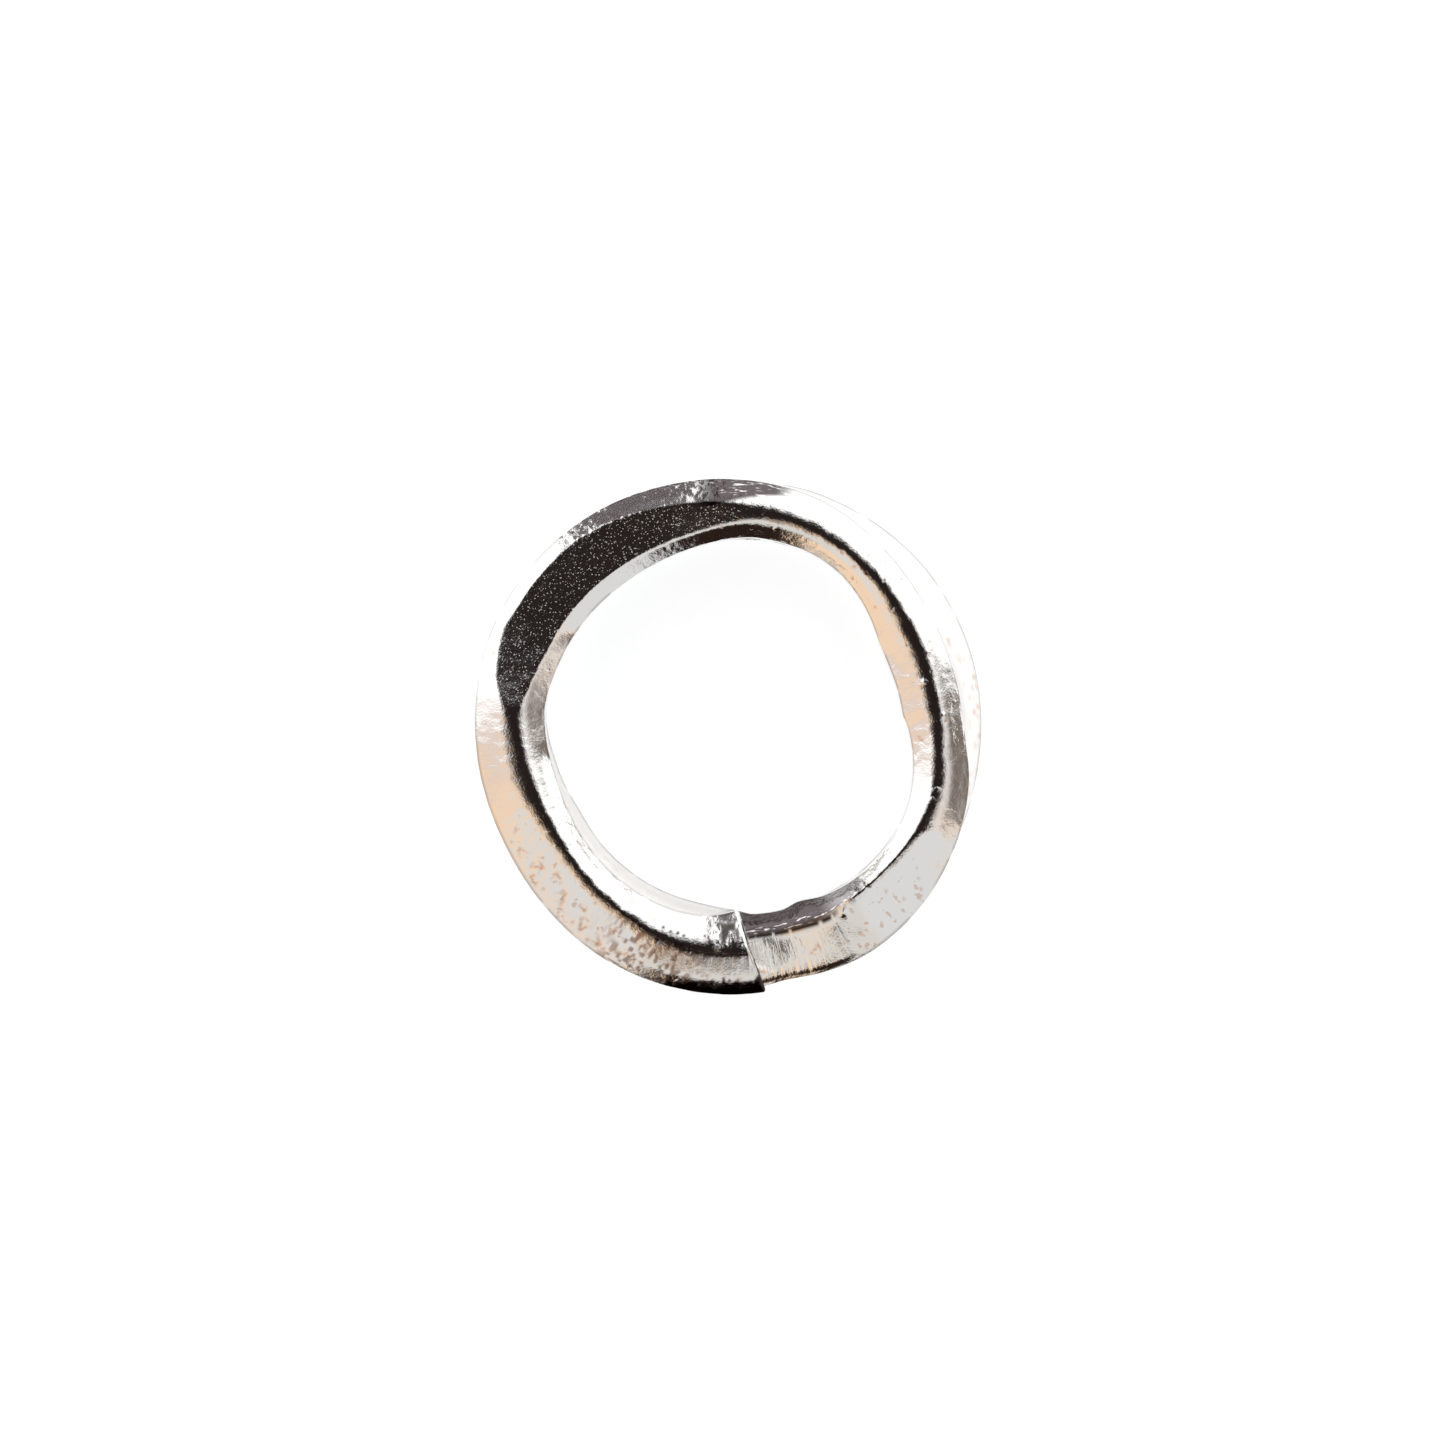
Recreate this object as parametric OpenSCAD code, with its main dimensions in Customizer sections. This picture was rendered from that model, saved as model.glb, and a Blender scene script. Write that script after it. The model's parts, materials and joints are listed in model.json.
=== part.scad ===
// Split key ring: one length of hard steel wire coiled into two flat turns that lie on each other.
// The wire is divided into short stretches, so that the coil can spring open along its length.
// Z is the ring's axis, the ring lies on the XY plane, and the free end of its upper turn is at -Y.

/* [Wire] */
// Width of the wire, measured across the band of the ring
wire_width = 1.4; // [1.2:0.05:1.5]
// Height of the wire, measured along the ring's axis
wire_height = 1.15; // [1:0.05:1.3]
// Radius of the rounded sides, which the flats on the two faces cut off
side_radius = 0.75; // [0.72:0.01:0.85]

/* [Coil] */
// Play between the two turns where they lie on each other
turn_gap = 0.04; // [0.04:0.01:0.1]
// Play between two neighbouring stretches of the wire
stretch_gap = 0.03; // [0.02:0.01:0.05]
// Slant of the cut at the upper free end, outer corner ahead
upper_end_slant = 20; // [10:1:22]
// How far the upper free end runs past six o'clock, in degrees of its last bend
upper_end_run = 2; // [0:0.5:3]

/* [Hidden] */
$fn = 96;

// The middle line of each turn is a run of tangent bends, [bend radius, degrees], from the crossover
// to the free end. The first bend of each belongs to the crossover. The turns are a little out of
// round, as on any ring that was coiled in one stroke and pressed flat. to_middle puts the middle of
// the whole ring on the origin.
to_middle = [0.02, -0.02];
upper_bends = [[3.7, 31.5], [6.25, 50], [5.3, 50], [4.85, 50], [5, 50], [5.85, 50], [5.25, 50]];
lower_bends = [[4.45, 24], [5.7, 50], [4.35, 50], [5.55, 50], [4.95, 50], [5, 50], [5.45, 60]];
upper_first_centre = [0.89, -1.43] + to_middle;
lower_first_centre = [0.18, -0.38] + to_middle;
upper_first_angle = -59;
lower_first_angle = -86;
upper_way = 1;
lower_way = -1;

lower_z = wire_height / 2;
upper_z = lower_z + wire_height + turn_gap;
end_allowance = 8;
cutter = 4;

// The crossover: its rings along the wire, points across the wire, and the part of the bend
// in which it steps down from one turn to the other
crossover_rings = 28;
stub_rings = 8;
width_points = 12;
step_start = 0.05;
step_end = 0.9;
bend_reach = 2.3;

function unit(angle) = [cos(angle), sin(angle)];
function lerp(a, b, t) = a + (b - a) * t;
function ease(t) = let (u = min(max(t, 0), 1)) u * u * (3 - 2 * u);

// Degrees that the wire has turned before bend i, and the centre of bend i
function turned(bends, i) = i == 0 ? 0 : turned(bends, i - 1) + bends[i - 1][1];
function bend_centre(bends, first_centre, first_angle, way, i) =
    i == 0 ? first_centre
    : bend_centre(bends, first_centre, first_angle, way, i - 1)
        + (bends[i - 1][0] - bends[i][0]) * unit(first_angle + way * turned(bends, i));

// Half the wire's height at x across it
function half_height(x) = min(wire_height / 2, sqrt(pow(side_radius, 2) - x * x));

// The wire's section: round wire pressed flat on both faces and at its sides
module wire_section() {
    intersection() {
        square([wire_width, wire_height], center = true);
        circle(r = side_radius);
    }
}

// A bent length of wire, from one angle on and for a sweep either way
module bent_wire(centre, radius, z, from, sweep) {
    translate([centre[0], centre[1], z])
        rotate([0, 0, min(from, from + sweep)])
            rotate_extrude(angle = abs(sweep))
                translate([radius, 0])
                    wire_section();
}

// Stretch i of a turn, a little short of the next one
module stretch(bends, first_centre, first_angle, way, z, i) {
    centre = bend_centre(bends, first_centre, first_angle, way, i);
    radius = bends[i][0];
    play = stretch_gap / radius * 180 / PI;
    from = first_angle + way * (turned(bends, i) + play / 2);
    bent_wire(centre, radius, z, from, way * (bends[i][1] - play));
}

// The last stretch of a turn, with its end cut across or on a slant
module free_end(bends, first_centre, first_angle, way, z, run, slant) {
    i = len(bends) - 1;
    centre = bend_centre(bends, first_centre, first_angle, way, i);
    radius = bends[i][0];
    play = stretch_gap / radius * 180 / PI;
    from = first_angle + way * (turned(bends, i) + play / 2);
    cut = bends[i][1] + run - play / 2;
    difference() {
        bent_wire(centre, radius, z, from, way * (cut + end_allowance));
        translate([centre[0], centre[1], z])
            rotate([0, 0, from + way * cut])
                translate([radius, 0, 0])
                    rotate([0, 0, way * slant])
                        translate([-cutter / 2, way > 0 ? 0 : -cutter, -cutter / 2])
                            cube(cutter);
    }
}

// The crossover's middle line: a curve that leaves one turn and joins the other along their tangents
upper_joint = upper_first_centre + upper_bends[0][0] * unit(upper_first_angle);
lower_joint = lower_first_centre + lower_bends[0][0] * unit(lower_first_angle);
upper_heading = bend_reach * [sin(upper_first_angle), -cos(upper_first_angle)];
lower_heading = bend_reach * [sin(lower_first_angle), -cos(lower_first_angle)];
function bend_point(t) =
    (2 * pow(t, 3) - 3 * t * t + 1) * upper_joint + (pow(t, 3) - 2 * t * t + t) * upper_heading
    + (3 * t * t - 2 * pow(t, 3)) * lower_joint + (pow(t, 3) - t * t) * lower_heading;
function bend_outward(t) =
    let (
        along = (6 * t * t - 6 * t) * (upper_joint - lower_joint)
            + (3 * t * t - 4 * t + 1) * upper_heading + (3 * t * t - 2 * t) * lower_heading
    )
    [-along[1], along[0]] / norm(along);

// One ring of the crossover, over the top face and back along the underside; step is 0 on the
// upper turn and 1 on the lower one. Its points crowd towards the wire's rounded sides.
function across(k) = -cos(180 * k / width_points) * wire_width / 2;
function ring(point, outward, step) =
    let (z = lerp(upper_z, lower_z, step))
    [for (face = [1, -1], k = [0 : width_points])
        let (x = face * across(k))
        [point[0] + x * outward[0], point[1] + x * outward[1], z + face * half_height(x)]];

// A stub of a turn, as rings, from angle a to angle b of its first bend
function stub(centre, radius, a, b, step) =
    [for (k = [0 : stub_rings - 1])
        let (angle = lerp(a, b, k / (stub_rings - 1)))
        ring(centre + radius * unit(angle), unit(angle), step)];

module crossover_bend() {
    upper_play = stretch_gap / 2 / upper_bends[0][0] * 180 / PI;
    lower_play = stretch_gap / 2 / lower_bends[0][0] * 180 / PI;
    rings = concat(
        stub(upper_first_centre, upper_bends[0][0],
            upper_first_angle + upper_bends[0][1] - upper_play, upper_first_angle, 0),
        [for (k = [1 : crossover_rings - 1])
            let (t = k / crossover_rings)
            ring(bend_point(t), bend_outward(t), ease((t - step_start) / (step_end - step_start)))],
        stub(lower_first_centre, lower_bends[0][0],
            lower_first_angle, lower_first_angle - lower_bends[0][1] + lower_play, 1)
    );
    around = len(rings[0]);
    last = (len(rings) - 1) * around;
    sides = [for (r = [0 : len(rings) - 2], k = [0 : around - 1])
        let (a = r * around + k, b = r * around + (k + 1) % around)
        each [[a, a + around, b], [b, a + around, b + around]]];
    color("lightsteelblue")
        polyhedron(
            points = [for (r = rings) each r],
            faces = concat(
                sides,
                [[for (k = [0 : around - 1]) k]],
                [[for (k = [around - 1 : -1 : 0]) last + k]]
            )
        );
}

module upper_coil(i) {
    color(i % 2 == 0 ? "silver" : "gainsboro")
        stretch(upper_bends, upper_first_centre, upper_first_angle, upper_way, upper_z, i);
}

module upper_free_end() {
    color("silver")
        free_end(upper_bends, upper_first_centre, upper_first_angle, upper_way, upper_z,
            upper_end_run, upper_end_slant);
}

module lower_coil(i) {
    color(i % 2 == 0 ? "lightgray" : "darkgray")
        stretch(lower_bends, lower_first_centre, lower_first_angle, lower_way, lower_z, i);
}

module lower_free_end() {
    color("lightgray")
        free_end(lower_bends, lower_first_centre, lower_first_angle, lower_way, lower_z, 0, 0);
}

crossover_bend();
upper_coil(1);  // upper_coil_1
upper_coil(2);  // upper_coil_2
upper_coil(3);  // upper_coil_3
upper_coil(4);  // upper_coil_4
upper_coil(5);  // upper_coil_5
upper_free_end();
lower_coil(1);  // lower_coil_1
lower_coil(2);  // lower_coil_2
lower_coil(3);  // lower_coil_3
lower_coil(4);  // lower_coil_4
lower_coil(5);  // lower_coil_5
lower_free_end();
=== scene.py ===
# %% [markdown]
# # A split key ring, in bright plate
#
# A split key ring is one hard steel wire, wound twice into a flat coil. The wire starts round, is
# pressed wider in places, and each turn is a little out of round because it sprang back after
# winding. At one place the wire steps down from the upper turn to the lower one. After winding,
# the ring is ground on a few spots, tumbled and plated, so its faces carry flats, pits, scratches
# and grains of plate. This lesson lays out that wire as one grid of points, then cuts it into
# pieces only where the coil has to spring open.

# %% Load the ring's frame
import json
import math

import bpy
import numpy as np
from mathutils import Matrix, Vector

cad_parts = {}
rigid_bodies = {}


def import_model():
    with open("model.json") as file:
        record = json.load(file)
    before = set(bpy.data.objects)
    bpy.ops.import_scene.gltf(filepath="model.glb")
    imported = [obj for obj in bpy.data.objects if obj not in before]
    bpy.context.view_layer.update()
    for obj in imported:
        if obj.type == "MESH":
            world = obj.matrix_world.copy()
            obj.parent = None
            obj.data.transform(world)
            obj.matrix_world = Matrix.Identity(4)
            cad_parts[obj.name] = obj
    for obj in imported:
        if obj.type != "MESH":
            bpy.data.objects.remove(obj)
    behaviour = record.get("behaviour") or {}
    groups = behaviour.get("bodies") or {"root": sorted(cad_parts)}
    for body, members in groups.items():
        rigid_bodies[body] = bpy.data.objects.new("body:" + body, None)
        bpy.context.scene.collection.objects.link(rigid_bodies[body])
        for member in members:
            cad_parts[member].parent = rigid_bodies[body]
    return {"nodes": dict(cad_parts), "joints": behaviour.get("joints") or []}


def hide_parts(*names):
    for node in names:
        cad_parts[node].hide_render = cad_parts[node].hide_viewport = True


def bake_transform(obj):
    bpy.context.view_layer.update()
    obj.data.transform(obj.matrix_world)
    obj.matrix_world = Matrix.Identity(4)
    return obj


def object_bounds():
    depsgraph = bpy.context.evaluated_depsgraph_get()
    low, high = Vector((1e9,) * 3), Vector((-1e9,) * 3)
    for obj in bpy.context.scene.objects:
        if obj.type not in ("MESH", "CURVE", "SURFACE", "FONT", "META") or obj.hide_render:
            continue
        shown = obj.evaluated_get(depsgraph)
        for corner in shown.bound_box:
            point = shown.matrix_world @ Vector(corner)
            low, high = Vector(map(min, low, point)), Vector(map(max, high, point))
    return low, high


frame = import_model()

cad_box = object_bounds()
print("stretches in the frame:", len(frame["nodes"]))

# %% [markdown]
# ## Units, heights and two small helpers
#
# Blender works in metres, but a ring 12 mm across is easier to think of in millimetres, so
# everything below is in millimetres until a mesh is made. Places round the ring are degrees wound
# along the wire: 0 is the free end of the upper turn at six o'clock, 90 is nine o'clock, and 360
# is six o'clock again, where the lower turn starts. The heights come from the frame: the two
# turns share the ring's height. Outlines are curves through a few given values. A spline
# could overshoot between them and make ripples in bright metal, so the curve used here never
# goes beyond its neighbours.

# %% Heights from the frame
MM = 0.001
play_between_turns = 0.04
coil_middle = np.array([0.02, -0.02])
ring_height = (cad_box[1].z - cad_box[0].z) / MM
wire_height = (ring_height - play_between_turns) / 2
crown_height = wire_height / 2
lower_level = crown_height
upper_level = ring_height - crown_height
print(f"ring {ring_height:.2f} mm high, wire {wire_height:.2f} mm high")


# %% Soft steps and smooth curves
def eased(t):
    """A soft step from 0 to 1."""
    t = np.clip(t, 0, 1)
    return t * t * (3 - 2 * t)


def between(value, low, high, soft):
    """1 between low and high, falling to 0 over soft on either side."""
    return eased((value - low + soft) / (2 * soft)) * eased((high + soft - value) / (2 * soft))


def through(points, at):
    """A smooth curve through given (place, value) points, with no overshoot."""
    x, y = np.array(points, float).T
    step = np.diff(x)
    slope = np.diff(y) / step
    before, after = slope[:-1], slope[1:]
    turns = before * after <= 0
    grade = np.zeros_like(y)
    grade[1:-1] = np.where(turns, 0, 2 * before * after / np.where(turns, 1, before + after))
    grade[0], grade[-1] = slope[0], slope[-1]
    at = np.clip(at, x[0], x[-1])
    k = np.clip(np.searchsorted(x, at) - 1, 0, len(x) - 2)
    t = (at - x[k]) / step[k]
    rise = y[k] * (1 + 2 * t) * (1 - t) ** 2 + y[k + 1] * t * t * (3 - 2 * t)
    return rise + step[k] * (grade[k] * t * (1 - t) ** 2 - grade[k + 1] * t * t * (1 - t))


print("half way up a soft step:", eased(0.5))

# %% [markdown]
# ## The band of the wire, as seen from above
#
# A real ring of this size is far from a perfect circle: the upper turn is flat on its right side,
# wide where it was pressed, and it flares where its end was cropped. Two tori would be quicker,
# but none of that would show. So the band gets an outer edge, an inner edge and a crest, the line
# along its top, each a curve through a few radii. On the lower turn only the inner edge is drawn,
# and the wire's own width gives the rest.

# %% Edges and crest of the band
wire_width = 1.4
lower_start = 362
outer_radii = [
    (-8, 6.03), (0, 6.04), (30, 5.99), (50, 5.90), (62, 5.87), (82, 5.95), (100, 6.06),
    (113, 6.15), (130, 6.18), (147, 6.16), (165, 6.10), (180, 6.05), (197, 5.97), (207, 5.87),
    (220, 5.68), (235, 5.52), (252, 5.44), (263, 5.44), (271, 5.50), (279, 5.65), (289, 5.78),
    (300, 5.88), (312, 5.97), (328, 6.02), (338, 5.97), (347, 5.90), (354, 5.97), (362, 5.70),
]
inner_radii = [
    (-8, 4.06), (-1.5, 4.08), (3, 4.16), (10, 4.24), (20, 4.27), (40, 4.25), (65, 4.19),
    (75, 4.21), (90, 4.33), (100, 4.41), (118, 4.38), (140, 4.38), (158, 4.44), (170, 4.54),
    (180, 4.65), (187, 4.71), (199, 4.71), (210, 4.64), (220, 4.49), (230, 4.28), (239, 4.10),
    (250, 4.05), (262, 4.05), (266, 4.13), (280, 4.33), (292, 4.44), (305, 4.47), (320, 4.40),
    (330, 4.31), (338, 4.19), (344, 4.26), (352, 4.24), (360, 4.11), (375, 4.01), (420, 3.99),
    (440, 4.18), (460, 4.44), (500, 4.46), (518, 4.52), (540, 4.68), (562, 4.75), (585, 4.74),
    (612, 4.65), (640, 4.52), (662, 4.50), (690, 4.36),
]
crest_radii = [
    (-8, 5.07), (8, 5.07), (30, 4.88), (40, 4.80), (55, 4.71), (65, 4.72), (75, 4.81), (85, 4.95),
    (93, 5.09), (102, 5.22), (130, 5.35), (160, 5.28), (180, 5.27), (190, 5.31), (210, 5.17), (225, 5.03),
    (240, 4.92), (255, 4.85), (270, 4.87), (285, 4.96), (300, 4.86), (315, 4.76), (325, 4.75),
    (332, 4.84), (340, 4.79), (352, 4.76), (362, 4.90),
]
on_lower = lambda place: eased((place - 354) / 8)


def inner_edge(place):
    return through(inner_radii, place)


def outer_edge(place):
    shaped = through(outer_radii, place)
    return shaped + (inner_edge(place) + wire_width - shaped) * on_lower(place)


def crest(place):
    shaped = through(crest_radii, place)
    return shaped + (inner_edge(place) + wire_width / 2 - shaped) * on_lower(place)


print("band at nine o'clock:", inner_edge(90.0).round(2), "to", outer_edge(90.0).round(2), "mm")

# %% [markdown]
# ## The step down
#
# Between half past five and six o'clock the wire steps down by its own height. An even ramp with
# rounded ends is how a wire bent over a pin looks; a soft S-curve would bulge.

# %% Height of the wire's middle
ramp_start, ramp_end, ramp_round = 325.0, 356.0, 6.0


def ramp(place):
    """0 before the step, 1 after it, in a straight line with rounded ends."""
    t = (place - ramp_start) / (ramp_end - ramp_start)
    r = ramp_round / (ramp_end - ramp_start)
    rounded = lambda v: r * np.logaddexp(0, v / r * 4) / 4
    return rounded(t) - rounded(t - 1)


def level(place):
    return upper_level + (lower_level - upper_level) * ramp(place)


print("half way down the step:", float(level((ramp_start + ramp_end) / 2)).__round__(2), "mm")

# %% [markdown]
# ## Flats that the grinding left
#
# Three flats show on the upper face. One is level, at the upper left, and wide because the wire
# was pressed there. The other two slope to the rim: one on the lower right that ends at the step,
# and one that runs from the step along the upper end. A flat is a plane that cuts the crown of
# the wire. A hard minimum of the two surfaces would leave a razor edge, so a soft minimum rounds
# it the way tumbling does. Lifting the plane out of the metal lets a flat end in a round shape.

# %% Flats
level_flat_inner = [(97, 5.05), (99, 4.98), (103, 4.89), (110, 4.80), (122, 4.74), (150, 4.73),
                    (160, 4.77), (170, 4.85), (178, 4.98), (184, 5.12), (190, 5.28)]
level_flat_outer = [(97, 5.27), (99, 5.44), (103, 5.64), (109, 5.79), (116, 5.88), (140, 5.88),
                    (150, 5.78), (160, 5.66), (170, 5.55), (178, 5.47), (184, 5.40), (190, 5.32)]
slope_degrees = [(-8, 12), (20, 12.5), (34, 17), (90, 17), (290, 17), (326, 17), (340, 14), (362, 12)]
slope_start = [(-8, 0.08), (30, 0.07), (45, 0.13), (60, 0.14), (95, 0.1), (290, 0.12), (305, 0.07),
               (326, 0.03), (362, 0.05)]
lift_of_slope = [(-8, 0), (56, 0), (70, 0.045), (92, 0.16), (110, 0.4), (270, 0.4), (286, 0.2),
                 (292, 0.11), (297, 0.03), (302, 0), (352, 0), (358, 0.1), (362, 0.4)]
bevel_from = [(-8, 0.68), (78, 0.68), (90, 0.52), (116, 0.52), (124, 0.68), (240, 0.68), (252, 0.5),
              (290, 0.5), (300, 0.68), (352, 0.68), (362, 0.82)]
bevel_from_inside = [(-8, 0.68), (78, 0.68), (90, 0.52), (116, 0.52), (124, 0.68), (240, 0.68), (252, 0.5),
                     (318, 0.5), (328, 0.68), (352, 0.68), (362, 0.82)]
side_power = 7


def crown(u, straight_from=0.68):
    """Height of the upper face above the wire's middle; u is 0 at the crest and 1 at an edge."""
    u = np.clip(np.abs(u), 0, 1)
    round_top = np.sqrt(1 - np.minimum(u, straight_from) ** 2)
    bevel = straight_from / np.sqrt(1 - straight_from ** 2)
    side = (1 - u ** side_power) ** (1 / side_power)
    return crown_height * np.minimum(round_top - bevel * (u - straight_from) * (u > straight_from), side)


def ridged(u, power=1.25):
    """A sharper crown, as on the stretches of the lower turn that the press caught."""
    return crown_height * np.clip(1 - np.abs(u) ** power, 0, 1) ** (1 / power)


def soft_min(a, b, round_off):
    h = np.clip(0.5 + 0.5 * (b - a) / round_off, 0, 1)
    return b + (a - b) * h - round_off * h * (1 - h)


def ground_face(place, radius, top):
    """The upper face after grinding, and how much of each flat there is at that spot."""
    ridge, inner, outer = crest(place), inner_edge(place), outer_edge(place)
    a = through(level_flat_inner, place)
    b = through(level_flat_outer, place)
    low, high = crown((ridge - a) / (ridge - inner)), crown((b - ridge) / (outer - ridge))
    outside = 2.0 * (1 - between(place, 82, 190, 2.0)) + 0.05 * (1 - eased((place - 90) / 8))
    plane = low + (high - low) * np.clip((radius - a) / (b - a), -0.5, 1.5) + outside
    cut = soft_min(top, plane, 0.02)
    start = through(slope_start, place)
    fall = np.tan(np.radians(through(slope_degrees, place)))
    slope = crown(start / (outer - ridge)) - fall * (radius - ridge - start)
    slope = slope + through(lift_of_slope, place)
    cut = soft_min(cut, slope, 0.045)
    return cut, eased((top - plane) / 0.03), eased((top - slope) / 0.03) * (radius > ridge)


print("deepest cut of the level flat:", round(float(crown_height - crown(0.62)), 3), "mm")

# %% [markdown]
# ## Uneven metal
#
# Bright metal shows every dent, so the wire needs dents that are real shapes. A noise over the
# grid of the wire, with its own fineness along and around, gives slow waves, radial grinding
# marks and the crumpled spot at the cropped end. Pits, nodules and curled scars are single marks:
# each is a small round bump or a ring-shaped groove at a chosen or a seeded random spot.

# %% A noise that wraps round the wire
def noise(along, around_wire, cells_along, cells_around, seed):
    """Smooth random values from -1 to 1; cells per degree along, whole cells around."""
    field = np.random.default_rng(seed).uniform(-1, 1, (int(700 * cells_along) + 20, cells_around))
    s = (along + 12) * cells_along
    t = around_wire * cells_around
    i, j = np.floor(s).astype(int), np.floor(t).astype(int)
    u, v = eased(s - i), eased(t - j)
    j, k = j % cells_around, (j + 1) % cells_around
    near = field[i, j] * (1 - v) + field[i, k] * v
    far = field[i + 1, j] * (1 - v) + field[i + 1, k] * v
    return near * (1 - u) + far * u


# %% [markdown]
# ## One loop of points after another
#
# Every cross-section is a closed loop of points, over the top from the inside of the ring to the
# outside and back along the underside. Loops lie close together on the upper turn, where the eye
# goes, and further apart on the lower one. At the upper end they lean, so that the wire ends in
# the slanted face that the cropping tool left, and its inner corner flares a little.

# %% Lay out the loops
around = 112
upper_steps = 960
lower_steps = 290
last_place = 690.0
lean_inside, lean_outside, lean_reach = -1.7, -7.4, 16.0
places = np.concatenate([
    np.linspace(0, lower_start, upper_steps, endpoint=False),
    np.linspace(lower_start, last_place, lower_steps),
])
loop = np.arange(around) / around
swing = loop * 2 * math.pi
spread = 2 / 2.1
across = -np.sign(np.cos(swing)) * np.abs(np.cos(swing)) ** spread
lean = (lean_inside + (lean_outside - lean_inside) * (across + 1) / 2)[None, :]
# For each point: P is degrees wound, U its place across the band from -1 to 1, L its share of the
# loop, R its radius and Z its height above the wire's middle.
P = places[:, None] + lean * (1 - eased(places[:, None] / lean_reach)) ** 2
U = np.broadcast_to(across, P.shape)
L = np.broadcast_to(loop, P.shape)
ridge = crest(P)
R = ridge + np.where(U < 0, U * (ridge - inner_edge(P)), U * (outer_edge(P) - ridge))
on_top = L < 0.5
bevel = np.where(U < 0, through(bevel_from_inside, P), through(bevel_from, P))
shown_inside = (between(P, 358, 456, 6) + between(P, 625, 720, 8)) * (U < 0)
lower_shown = np.clip(shown_inside + between(P, 560, 658, 6) * (U > 0), 0, 1)
upper_face = crown(U, bevel) + (ridged(U) - crown(U, bevel)) * lower_shown
Z = np.where(on_top, upper_face, -crown(U, bevel))
ground, level_flat, slope_flat = ground_face(P, R, Z)
Z = np.where(on_top, ground, np.maximum(Z, -crown_height + 0.012))
level_flat, slope_flat = np.where(on_top, level_flat, 0), np.where(on_top, slope_flat, 0)
print("points on the wire:", P.size)

# %% [markdown]
# ## Marks in the surface
#
# The marks move the points along the surface's own outward direction, so a bump on the flank
# sticks out sideways and not up.

# %% Where each mark is
def mark(place, radius, size):
    """How far each point is from a spot, in sizes of the mark, and in which direction."""
    along = np.radians(P - place) * radius
    return np.hypot(along, R - radius) / size, np.arctan2(R - radius, along)


on_wire_top = on_top & (P < lower_start)
print("points on the upper face of the upper turn:", int(on_wire_top.sum()))

# %% Waves, grinding streaks and the crumpled spot
raise_by = np.zeros_like(P)
raise_by += 0.004 * noise(P, L, 0.09, 7, 1) + 0.0035 * noise(P, L, 0.3, 16, 2)
raise_by += 0.0022 * noise(P, L, 0.9, 28, 3)
streaks = (between(P, 331, 359, 3) + 0.4 * between(P, -8, 14, 6)) * between(U, 0.05, 0.9, 0.05) * on_top
raise_by += 0.003 * streaks * noise(P, L, 1.6, 5, 4)
crumpled = between(P, -3, 4, 1.5) * between(R, 4.35, 4.98, 0.06) * on_top
raise_by += 0.011 * crumpled * noise(P, L, 1.1, 50, 5)
crumpled *= eased((noise(P, L, 0.5, 30, 12) + 0.3) / 0.5)
glints = between(P, 140, 193, 4) * (U > 0.45) + between(P, 322, 356, 4) * (U < -0.1)
raise_by += 0.004 * glints * on_top * noise(P, L, 1.5, 60, 6)
print("largest wave:", round(float(np.abs(raise_by).max()), 4), "mm")

# %% Curled scars
scars = np.zeros_like(P)
curls = [(27, 5.62, .12, 2), (31, 5.35, .10, 0), (34, 5.70, .13, 3), (38, 5.55, .15, 1), (41, 5.24, .10, 2),
         (44, 5.74, .11, 0), (47, 5.50, .16, 4), (51, 5.28, .13, 5), (54, 5.66, .12, 1), (57, 5.42, .14, 3),
         (61, 5.60, .11, 0), (24, 5.80, .10, 4), (13, 5.74, .09, 1), (338, 5.45, .13, 5),
         (331, 5.50, .08, 2)]
mottled = between(P, 8, 31, 5) * (U > -0.1) * on_top * eased((noise(P, L, 1.3, 60, 13) - 0.15) / 0.4)
scars = np.maximum(scars, 0.75 * mottled)
for place, radius, size, opening in curls:
    far, way = mark(place, radius, 0.75 * size)
    open_side = 0.5 + 0.5 * np.cos(way - opening)
    far = far * (1 + 0.25 * np.sin(3 * way + place) + 0.12 * np.sin(7 * way))
    groove = np.exp(-((far - 1) / 0.3) ** 2) * open_side * on_wire_top
    raise_by -= 0.01 * groove
    scars = np.maximum(scars, groove)
print("curled scars:", len(curls))

# %% Pits, grains and stained spots
dots = np.zeros_like(P)
chance = np.random.default_rng(11)
for stretch, count in (((-4, 66), 60), ((300, 334), 14), ((100, 180), 30), ((190, 290), 26)):
    for _ in range(count):
        place, share = chance.uniform(*stretch), chance.uniform(0.08, 0.95)
        radius = inner_edge(place) + share * (outer_edge(place) - inner_edge(place))
        size, height = chance.uniform(0.02, 0.045), chance.choice([-0.006, 0.006])
        spot = np.exp(-mark(place, radius, size)[0] ** 2) * on_wire_top
        raise_by += height * spot
        dots = np.maximum(dots, spot * (height < 0))
for _ in range(40):
    place, radius = chance.uniform(606, 644), chance.uniform(5.62, 6.02)
    dots = np.maximum(dots, np.exp(-mark(place, radius, chance.uniform(0.02, 0.05))[0] ** 2) * (P > 600))
print("share of points in pits or stains:", round(float((dots > 0.5).mean()), 4))

# %% Large nodules, hatch marks and the dimple
nodules = [(171, 5.84, .05), (264, 5.0, .035), (284, 4.98, .035), (287, 4.93, .03), (71, 4.87, .035),
           (63, 4.80, .03), (121, 4.76, .035), (192, 4.98, .035), (232, 4.86, .03), (254, 4.70, .05),
           (327.5, 4.87, .08), (58, 4.85, .03)]
for place, radius, size in nodules:
    raise_by += 0.4 * size * np.exp(-mark(place, radius, size)[0] ** 2) * on_wire_top
hatches = np.zeros_like(P)
hatch_spots = [(7.6, 4.69, .035), (13.4, 4.77, .04), (15.2, 4.75, .045), (17.3, 4.76, .04),
               (19.6, 4.72, .04)]
for place, radius, size in hatch_spots:
    hatches = np.maximum(hatches, np.exp(-mark(place, radius, size)[0] ** 4) * on_wire_top)
dimple_depth = 0.018
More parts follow.
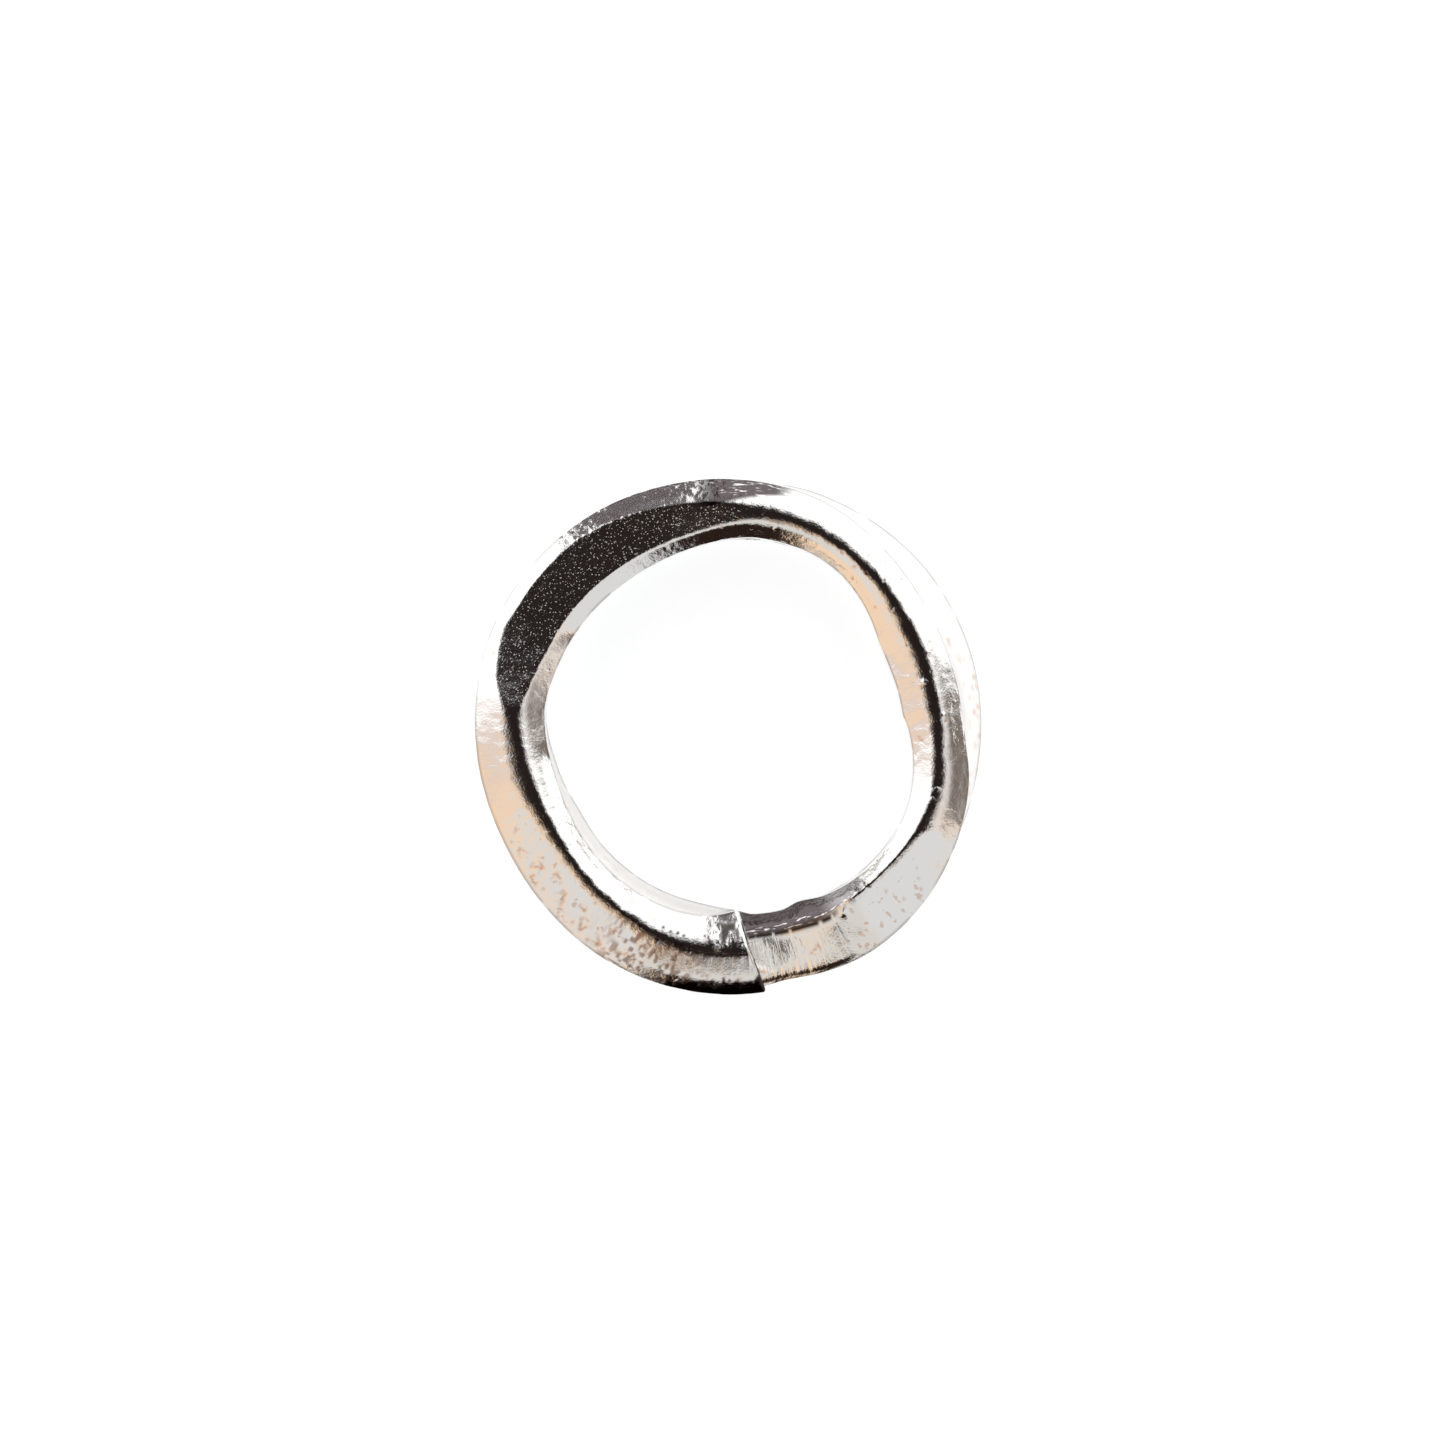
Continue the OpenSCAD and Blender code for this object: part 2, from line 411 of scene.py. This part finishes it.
dimple_distance = mark(325.8, 5.02, 0.12)[0]
raise_by -= dimple_depth * np.exp(-dimple_distance ** 2) * on_wire_top
print("large nodules:", len(nodules), "and hatch marks:", len(hatch_spots))

# %% Points and outward directions
def in_space(radius, height):
    angle = np.radians(P)
    return np.stack([coil_middle[0] - radius * np.sin(angle),
                     coil_middle[1] - radius * np.cos(angle), height + level(P)], axis=-1)


def outward(grid):
    """The unit direction square to the surface at each point of the grid."""
    along = np.gradient(grid, axis=0)
    round_it = np.roll(grid, -1, axis=1) - np.roll(grid, 1, axis=1)
    square = np.cross(round_it, along)
    return square / np.linalg.norm(square, axis=-1, keepdims=True)


points = in_space(R, Z)
facing = outward(points)
middle = in_space(ridge, 0)
if (facing * (points - middle)).sum() < 0:
    facing = -facing
points = points + facing * raise_by[..., None]
print("largest mark:", round(float(np.abs(raise_by).max()), 3), "mm")

# %% [markdown]
# ## The two cropped ends
#
# A tube that simply stops looks like a drawing of a wire. Each end of the real one has a small
# round where tumbling wore its edge, and then a torn, nearly flat face. A few more loops do that:
# they shrink towards the wire's middle, first while still moving forward and then in place.

# %% Close the ends
end_round = 0.05
end_loops = [(0.4, 0.985), (0.75, 0.965), (1.0, 0.93), (1.0, 0.80), (1.0, 0.62), (1.0, 0.42), (1.0, 0.2)]


def end_face(row, next_row, seed):
    """Loops that close the wire beyond its last row of points, outermost first."""
    centre = points[row].mean(axis=0)
    ahead = points[row] - points[next_row]
    ahead = ahead / np.linalg.norm(ahead, axis=1, keepdims=True)
    torn = np.random.default_rng(seed).normal(0, 0.006, (len(end_loops), around, 1))
    loops = []
    for (forward, shrink), rough in zip(end_loops, torn):
        reach = shrink if shrink < 0.95 else 0
        rough = (rough + np.roll(rough, 1, axis=0) + np.roll(rough, -1, axis=0)) * reach
        loops.append(centre + (points[row] - centre) * shrink + ahead * (forward * end_round + rough))
    return np.array(loops)


first_face, last_face = end_face(0, 1, 21)[::-1], end_face(-1, -2, 22)
extra = len(end_loops)
points = np.concatenate([first_face, points, last_face])
facing = outward(points)
inside_out = (facing[extra + 50] * (points[extra + 50] - points[extra + 50].mean(axis=0))).sum() < 0
facing = -facing if inside_out else facing
widen = lambda grid: np.concatenate([np.repeat(grid[:1], extra, 0), grid, np.repeat(grid[-1:], extra, 0)])
torn_face = np.zeros(len(points))
torn_face[:extra - 1] = torn_face[-extra + 1:] = 1
print("loops in all:", len(points))

# %% [markdown]
# ## What the surface is like at each point
#
# The finish has to know where it is: on a flat, in the grinding streaks, in a scar. That could be
# painted by hand, but the grid already knows, so three colour attributes carry it. `ground` holds
# the level flat, the sloping flat and the streaks; `wear` holds scars, dull metal and torn metal;
# `edges` holds painted shade, dark lines along the rim, the crest and the band's edges, with the
# dark crumpled spot and hatch marks; painted grey reflection on some flanks; and painted glints.

# %% Masks of flats and wear
grainy = np.interp(P, [98, 113, 145, 180], [0.9, 0.5, 0.5, 0.8])
ground_paint = np.stack([widen(level_flat * grainy), widen(slope_flat),
                         widen(np.clip(streaks, 0, 1))], axis=-1)
torn_metal = np.maximum(widen(np.clip(crumpled, 0, 1)), torn_face[:, None])
wear_paint = np.stack([widen(np.clip(scars + 0.8 * dots, 0, 1)), widen(lower_shown), torn_metal], axis=-1)
print("share of points on flats:", round(float((ground_paint[..., :2].max(axis=-1) > 0.5).mean()), 3))

# %% Masks of painted shade and painted reflection on edges and flanks
# Painted reflection: the inner flank at and before the step, and the outer flank near twelve o'clock, get a
# grey base colour that stands in for the dark gap they reflect. The mottled patch beside the upper free end
# takes some of the same grey.
flank_at_step = between(P, 330, 360, 5) * eased((ridge - 0.02 - R) / 0.03)
flank_before_step = 0.7 * between(P, 318, 330, 6) * (U < -0.2)
outer_flank = between(P, 173, 193, 3) * eased((U - 0.12 - 0.03 * (P - 176)) / 0.15)
grey_reflection_and_mottling = (flank_at_step + flank_before_step + outer_flank) * on_top + 0.55 * mottled
# Painted highlights: where this mask meets a noise the grey is left off, so glints show in the painted
# grey.
shining = between(U, -0.42, -0.12, 0.08) * between(P, 318, 360, 4) + between(P, 176, 196, 4) * (U > 0.5)

# Painted shade: a dark rim along the outer edge round six o'clock, standing in for the dark reflection
# there.
rim_reach = 0.60 + 0.12 * noise(P, L * 0, 1.6, 4, 9) + 0.42 * eased((P + 2) / 26)
rim_reach += 0.22 * (P > 200) * eased((358 - P) / 12)
rim = eased((U - rim_reach) / 0.1) * (between(P, -20, 24, 6) + between(P, 336, 370, 4)) * on_top
# Painted shade: a dark line along the crest over the step.
painted_crest_shade = between(P, 329, 358, 3) * np.exp(-((R - ridge + 0.01) / 0.07) ** 4) * on_top
painted_crest_shade *= eased((noise(P, L * 0, 0.8, 4, 15) + 0.9) / 0.6)
# Painted shade: a faint dark line along both edges of the band, where the wire turns away from view.
painted_outline_shade = 0.33 * eased((np.abs(U) - 0.93) / 0.05) * on_top
painted_outline_shade *= eased((noise(P, L * 0, 0.3, 4, 16) + 0.8) / 0.6)
# The dark paint joins the painted shade of the rim, the crest and the band's edges with the darkened
# crumpled spot and hatch marks.
rim = np.maximum.reduce([rim, painted_crest_shade, painted_outline_shade, 0.9 * crumpled, hatches])
edge_paint = np.stack([widen(np.clip(rim, 0, 1)), widen(np.clip(grey_reflection_and_mottling, 0, 1)),
                       widen(np.clip(shining, 0, 1))], axis=-1)
print("share of points in dark scale:", round(float((edge_paint[..., 0] > 0.5).mean()), 3))

# %% [markdown]
# ## Cut the wire where it springs
#
# When a key is worked onto the ring, a turn lifts and the whole wire bends a little. The frame
# stands in for that bending with a row of hinges between short stretches. If each stretch were a
# stiff piece of mesh, the wire would break into a chain of straight links. So each piece here is
# centred on a hinge instead, and named after it. Pieces meet half way between two hinges, and
# their normals carry on smoothly across the cut. Each piece is a closed solid of its own.

# %% Find the hinges along the wire
def place_of(spot):
    """Degrees wound, from 0 to 360, of a point given in metres."""
    x, y = spot[0] / MM - coil_middle[0], spot[1] / MM - coil_middle[1]
    return math.degrees(math.atan2(-x, -y)) % 360


hinges = []
for joint in frame["joints"].values() if isinstance(frame["joints"], dict) else frame["joints"]:
    wound = place_of(joint["pos_m"])
    on_upper_turn = joint["name"].startswith("upper")
    before, after = joint["parent"], joint["child"]
    if on_upper_turn:
        before, after = after, before
    hinges.append((wound if on_upper_turn else wound + 360, before, after, joint["name"]))
hinges.sort()
cuts = [0.0] + [(a[0] + b[0]) / 2 for a, b in zip(hinges, hinges[1:])] + [last_place]
print("hinges at", [round(h[0]) for h in hinges], "degrees wound")


# %% Build one piece
def piece_mesh(name, first, last):
    """A closed tube of the loops from first to last, in metres, smooth across the cuts."""
    block, square = points[first:last + 1], facing[first:last + 1]
    rows = len(block)
    ring = np.arange(around)
    a = (np.arange(rows - 1)[:, None] * around + ring[None, :]).ravel()
    b = (np.arange(rows - 1)[:, None] * around + np.roll(ring, -1)[None, :]).ravel()
    quads = np.stack([a, a + around, b + around, b], axis=1)
    if not inside_out:
        quads = quads[:, ::-1]
    faces = quads.tolist()
    start_cap, end_cap = ring.tolist(), ((rows - 1) * around + ring).tolist()
    faces += [start_cap, end_cap[::-1]] if not inside_out else [start_cap[::-1], end_cap]
    mesh = bpy.data.meshes.new(name)
    mesh.from_pydata((block.reshape(-1, 3) * MM).tolist(), [], faces)
    mesh.shade_smooth()
    for title, paint in (("ground", ground_paint), ("wear", wear_paint), ("edges", edge_paint)):
        layer = mesh.attributes.new(title, "FLOAT_COLOR", "POINT")
        colours = np.ones((rows * around, 4), np.float32)
        colours[:, :3] = paint[first:last + 1].reshape(-1, 3)
        layer.data.foreach_set("color", colours.ravel())
    add_wire_map(mesh, first, rows)
    mesh.normals_split_custom_set_from_vertices(square.reshape(-1, 3).tolist())
    return mesh


def add_wire_map(mesh, first, rows):
    """A UV map: degrees wound along, share of the loop around."""
    corner = np.empty(len(mesh.loops), np.int32)
    mesh.loops.foreach_get("vertex_index", corner)
    row, column = corner // around, corner % around
    u = widen(P).reshape(-1)[(first + row) * around + column] / 360
    v = column / around
    wraps = np.zeros(len(corner), bool)
    quads = (rows - 1) * around * 4
    by_face = column[:quads].reshape(-1, 4)
    wrapped = (by_face.max(axis=1) == around - 1) & (by_face.min(axis=1) == 0)
    wraps[:quads] = (wrapped[:, None] & (by_face == 0)).ravel()
    layer = mesh.uv_layers.new(name="wire")
    layer.data.foreach_set("uv", np.stack([u, v + wraps], axis=1).astype(np.float32).ravel())


# %% Make every piece
wound = widen(P)[:, 0]
wound = np.concatenate([np.full(extra, -1.0), places, np.full(extra, last_place + 1)])
turning_reach = 18.0


def spot_on_wire(place):
    """A point on the wire's middle line, in metres."""
    radius, angle = float(crest(place)), math.radians(place)
    return ((coil_middle[0] - radius * math.sin(angle)) * MM,
            (coil_middle[1] - radius * math.cos(angle)) * MM, float(level(place)) * MM)


wire_pieces = []
for number, (hinge, low, high) in enumerate(zip(hinges, cuts, cuts[1:])):
    place, before, after, joint_name = hinge
    first = 0 if number == 0 else int(np.searchsorted(wound, low))
    last = len(points) - 1 if number == len(hinges) - 1 else int(np.searchsorted(wound, high))
    name = "wire_at_" + joint_name
    piece = bpy.data.objects.new(name, piece_mesh(name, first, last))
    bpy.context.scene.collection.objects.link(piece)
    spot_on_wire(place - turning_reach)
    spot_on_wire(place + turning_reach)
    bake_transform(piece)
    wire_pieces.append(piece)
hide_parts(*frame["nodes"])
print("pieces of wire:", len(wire_pieces), "with", sum(len(p.data.polygons) for p in wire_pieces), "faces")

# %% [markdown]
# ## Shader maths as plain expressions
#
# A finish is a sum of masks and noises. Adding each Math node by hand hides the sum, so a small
# class wraps a socket and turns +, -, * and / into nodes, also when the number comes first, as
# in 1 - mask. Colours are mixed with Mix nodes, because a Math node would turn them grey.

# %% A socket that can be used in sums
class Socket:
    """Wraps a node's output, so that shader maths reads like arithmetic."""

    def __init__(self, sheet, out):
        self.sheet, self.out = sheet, out

    def maths(self, operation, *values):
        return self.sheet.node("Math", {"operation": operation}, dict(enumerate(values)))

    def __add__(self, other):
        return self.maths("ADD", self, other)

    def __radd__(self, other):
        return self.maths("ADD", other, self)

    def __sub__(self, other):
        return self.maths("SUBTRACT", self, other)

    def __rsub__(self, other):
        return self.maths("SUBTRACT", other, self)

    def __mul__(self, other):
        return self.maths("MULTIPLY", self, other)

    def __rmul__(self, other):
        return self.maths("MULTIPLY", other, self)

    def __truediv__(self, other):
        return self.maths("DIVIDE", self, other)

    def __rtruediv__(self, other):
        return self.maths("DIVIDE", other, self)


class Sheet:
    """The nodes of one finish or light."""

    def __init__(self, material):
        material.use_nodes = True
        self.tree = material.node_tree
        self.tree.nodes.clear()

    def node(self, kind, settings=None, sockets=None, out=0):
        """Adds a node: its settings first, then its sockets by name or number."""
        made = self.tree.nodes.new("ShaderNode" + kind)
        for key, value in (settings or {}).items():
            setattr(made, key, value)
        for key, value in (sockets or {}).items():
            if isinstance(value, Socket):
                self.tree.links.new(value.out, made.inputs[key])
            else:
                made.inputs[key].default_value = value
        if isinstance(out, tuple):
            return [Socket(self, made.outputs[k]) for k in out]
        return Socket(self, made.outputs[out]) if made.outputs else made

    def step(self, value, low, high):
        """0 below low, 1 above high, soft between."""
        return self.node("MapRange", {"interpolation_type": "SMOOTHSTEP"},
                         {0: value, 1: low, 2: high, 3: 0.0, 4: 1.0})

    def span(self, value, low, high, soft):
        """1 from low to high, with soft edges."""
        return self.step(value, low - soft, low + soft) * (1 - self.step(value, high - soft, high + soft))

    def mix(self, amount, a, b):
        """Colour a where amount is 0, colour b where it is 1."""
        return self.node("Mix", {"data_type": "RGBA"}, {0: amount, 6: a, 7: b}, out=2)

    def parts(self, vector):
        """The three numbers of a vector."""
        return self.node("SeparateXYZ", None, {0: vector}, out=(0, 1, 2))

    def painted(self, name):
        """The three masks of a painted attribute."""
        return self.parts(self.node("Attribute", {"attribute_name": name}, None, out=1))


def tone(hex_code, gain=1.0):
    """A screen colour, as the light that it stands for."""
    parts = [int(hex_code[k:k + 2], 16) / 255 for k in (0, 2, 4)]
    linear = [c / 12.92 if c <= 0.04045 else ((c + 0.055) / 1.055) ** 2.4 for c in parts]
    return tuple(c * gain for c in linear) + (1.0,)


print("mid grey on screen is", round(tone("808080")[0], 3), "of white light")

# %% [markdown]
# ## The plate on the wire
#
# Plate is metal all through, so what the eye sees is mostly the room. The finish adds what the
# plate itself does: fine grain everywhere, bright specks on the level flat, fine radial lines
# where the wheel crossed the step, brown in the scars where polish stayed, and a matt skin where
# the wheel never reached. It also paints light and shade into the base colour: dark lines of
# painted shade along the rim, the crest and the band's edges, and grey painted reflection with
# painted glints on some flanks.

# %% Plate
plate_colour = tone("f8f7f5")
scar_brown = tone("c98c58")
# The grey below is painted reflection and the dark is painted shade, not colours of the plate; the dark
# also colours the crumpled spot and the hatch marks.
painted_reflection_grey = tone("655d5f")
dark_reflection_and_marks = tone("3a302c")


def plate():
    material = bpy.data.materials.new("bright_plate")
    s = Sheet(material)
    level_mask, slope_mask, streak_mask = s.painted("ground")
    scar, matt, torn = s.painted("wear")
    rim, grey_reflection_mask, shining = s.painted("edges")
    spot = s.node("TexCoord", None, None, out=3)
    u, v, _ = s.parts(s.node("TexCoord", None, None, out=2))
    lines_at = s.node("CombineXYZ", None, {0: u * 340.0, 1: v * 7.0})
    lines = s.node("TexNoise", None, {"Vector": lines_at, "Scale": 1.0, "Detail": 3.0})
    grain = s.node("TexNoise", None, {"Vector": spot, "Scale": 21000.0, "Detail": 3.0})
    swell = s.node("TexNoise", None, {"Vector": spot, "Scale": 3800.0, "Detail": 2.0})
    specks = s.step(s.node("TexNoise", None, {"Vector": spot, "Scale": 25000.0, "Detail": 1.0}), 0.65, 0.75)
    patches = s.node("TexNoise", None, {"Vector": spot, "Scale": 1500.0, "Detail": 3.0})
    stain = s.step(s.node("TexNoise", None, {"Vector": spot, "Scale": 5200.0, "Detail": 4.0}), 0.60, 0.68)
    height = grain * 0.4 + swell * 0.6 + specks * (0.04 + 0.3 * level_mask) + lines * streak_mask * 2.6
    height = height + torn * grain * 3.0
    relief = s.node("Bump", None, {"Height": height, "Strength": 0.45, "Distance": 0.00002})
    colour = s.mix(scar * 0.7, plate_colour, scar_brown)
    colour = s.mix(stain * slope_mask * (1 - streak_mask) * 0.45, colour, scar_brown)
    glint_at = s.node("CombineXYZ", None, {0: u * 130.0, 1: v * 60.0})
    shine = s.step(s.node("TexNoise", None, {"Vector": glint_at, "Scale": 1.0, "Detail": 3.0}), 0.55, 0.65)
    # Painted reflection: a darker grey base colour on some flanks stands in for the dark gap they reflect;
    # the painted glints leave spots of plate colour in it.
    colour = s.mix(grey_reflection_mask * (1 - shine * shining), colour, painted_reflection_grey)
    # Painted shade: dark base colour for the rim, the crest line and the band's edges, which also darkens
    # the crumpled spot and the hatch marks.
    colour = s.mix(rim, colour, dark_reflection_and_marks)
    rough = 0.05 + 0.05 * patches + 0.06 * level_mask + 0.03 * streak_mask + 0.1 * torn + 0.3 * matt
    s.node("OutputMaterial", None, {"Surface": s.node("BsdfPrincipled", None, {
        "Base Color": colour, "Metallic": 1.0, "Roughness": rough, "Normal": relief})})
    return material


bright_plate = plate()
for piece in wire_pieces:
    piece.data.materials.append(bright_plate)
print("nodes in the finish:", len(bright_plate.node_tree.nodes))

# %% [markdown]
# ## The studio
#
# A mirror shows its surroundings, so the lights are as much of the picture as the ring. Lamps
# would leave most of the metal black. A dome of panels round the table is what a small-goods
# studio uses: white cloth on most sides, a dark gap at the back, a warm board in front, pale
# cards between, and a dark hole overhead for the lens. The gap has a few chinks of light. The dome
# is far wider than the ring, so each direction has one colour wherever the ring reflects it.

# %% The dome
dome_radius = 0.4
dome_foot = -0.02


def make_dome():
    """A round shell, open below the table."""
    turns, rises = 64, 24
    lowest = math.asin(dome_foot / dome_radius)
    tilts = [lowest + (math.pi / 2 - lowest) * k / rises for k in range(rises)]
    verts = [(dome_radius * math.cos(t) * math.cos(2 * math.pi * k / turns),
              dome_radius * math.cos(t) * math.sin(2 * math.pi * k / turns),
              dome_radius * math.sin(t)) for t in tilts for k in range(turns)]
    verts.append((0, 0, dome_radius))
    faces = []
    for r in range(rises - 1):
        for k in range(turns):
            here, beside = r * turns + k, r * turns + (k + 1) % turns
            faces.append((here, beside, beside + turns, here + turns))
    faces += [((rises - 1) * turns + k, (rises - 1) * turns + (k + 1) % turns, rises * turns)
              for k in range(turns)]
    mesh = bpy.data.meshes.new("studio_dome")
    mesh.from_pydata(verts, [], faces)
    mesh.shade_smooth()
    dome = bpy.data.objects.new("studio_dome", mesh)
    bpy.context.scene.collection.objects.link(dome)
    dome.visible_camera = False
    return dome


# %% Panels on the dome
def dome_light():
    """Light by side, in degrees from the front towards the left, and tilt from overhead."""
    material = bpy.data.materials.new("dome_panels")
    s = Sheet(material)
    spot = s.node("TexCoord", None, None, out=3)
    x, y, z = s.parts(spot)
    to_degrees = 180 / math.pi
    tilt = (z / dome_radius).maths("ARCCOSINE", z / dome_radius) * to_degrees
    side = x.maths("ARCTAN2", x * -1, y * -1) * to_degrees
    turned = (side + 360).maths("MODULO", side + 360, 360.0)
    chink = s.step(s.node("TexNoise", None, {"Vector": spot, "Scale": 75.0, "Detail": 2.0}), 0.60, 0.66)
    gap = s.mix(chink, tone("5f5556"), tone("e8eef8"))
    white_cloth = (1.3, 1.3, 1.3, 1.0)
    pale_card = tone("dedede")
    colour = s.mix(s.span(turned, 142, 175, 2.5), white_cloth, gap)
    mauve = s.mix(s.step(tilt, 18, 58), tone("f2ecea"), tone("776c64"))
    mauve = s.mix(s.step(tilt, 64, 70), mauve, white_cloth)
    colour = s.mix(s.step(turned, 242, 264) * (1 - s.step(turned, 289, 299)), colour, mauve)
    warm = s.mix(s.step(side, 66, 84), tone("f8d9bb"), tone("e0d0c8"))
    colour = s.mix(s.step(side, -70, -64) * (1 - s.step(side, 80, 101)), colour, warm)
    left_card = s.span(side, 29, 61, 4) * s.span(tilt, 29, 60, 3) * (1 - 0.8 * s.span(tilt, 41, 47, 2))
    right_card = s.span(side, -63, -17, 4) * s.span(tilt, 27, 86, 3)
    colour = s.mix(left_card + right_card, colour, pale_card)
    colour = s.mix(s.span(side, -18, 31, 4) * s.span(tilt, 30, 60, 3), colour, tone("dbd7d2"))
    colour = s.mix(s.span(side, -20, 9, 4) * s.span(tilt, 10, 31, 2), colour, tone("a5a7aa"))
    colour = s.mix(s.span(side, 9, 27, 4) * s.span(tilt, 10, 32, 2), colour, tone("a58d79"))
    colour = s.mix(s.span(side, -25, 22, 5) * s.span(tilt, 54, 100, 4), colour, tone("2a1d18"))
    colour = s.mix(1 - s.step(tilt, 13, 29), colour, tone("241d1b"))
    colour = s.mix(s.span(side, -60, -14, 5) * s.span(tilt, 18, 32, 3), colour, pale_card)
    glow = s.node("Emission", None, {"Color": colour, "Strength": 1.0})
    s.node("OutputMaterial", None, {"Surface": glow})
    return material


dome = make_dome()
dome.data.materials.append(dome_light())
print("dome of", len(dome.data.polygons), "faces")

# %% [markdown]
# ## Table, room and camera
#
# The table is a plain white sheet. It glows a little, as a lit light table does, so that the
# ring's shadow nearly goes. The room beyond is pale grey for the side views. The camera looks
# straight down with a long lens, so that the far turn is hidden by the near one.

# %% Table
table_side = 0.78


def table():
    half = table_side / 2
    mesh = bpy.data.meshes.new("table")
    mesh.from_pydata([(-half, -half, 0), (half, -half, 0), (half, half, 0), (-half, half, 0)], [],
                     [(0, 1, 2, 3)])
    piece = bpy.data.objects.new("table", mesh)
    bpy.context.scene.collection.objects.link(piece)
    material = bpy.data.materials.new("white_sheet")
    s = Sheet(material)
    s.node("OutputMaterial", None, {"Surface": s.node("BsdfPrincipled", None, {
        "Base Color": (0.42, 0.42, 0.42, 1), "Roughness": 0.9, "Specular IOR Level": 0.0,
        "Emission Color": (0.97, 0.985, 1, 1), "Emission Strength": 0.78})})
    mesh.materials.append(material)
    return piece


print("table:", table().name)

# %% Room and camera
scene = bpy.context.scene
room = bpy.data.worlds.new("pale_room")
room.use_nodes = True
room.node_tree.nodes["Background"].inputs["Color"].default_value = (0.95, 0.95, 0.95, 1)
scene.world = room
scene.view_settings.view_transform = "Standard"

lens, sensor = 100, 36
view_width = 33.96
focus_height = 1.8
lens_offset = (-0.18, 0.32)
camera_data = bpy.data.cameras.new("camera")
camera_data.lens = lens
camera_data.sensor_width = sensor
camera_data.clip_start = 0.001
camera = bpy.data.objects.new("camera", camera_data)
scene.collection.objects.link(camera)
camera.location = (lens_offset[0] * MM, lens_offset[1] * MM,
                   (view_width * lens / sensor + focus_height) * MM)
scene.camera = camera
print("camera height:", round(camera.location.z / MM), "mm")
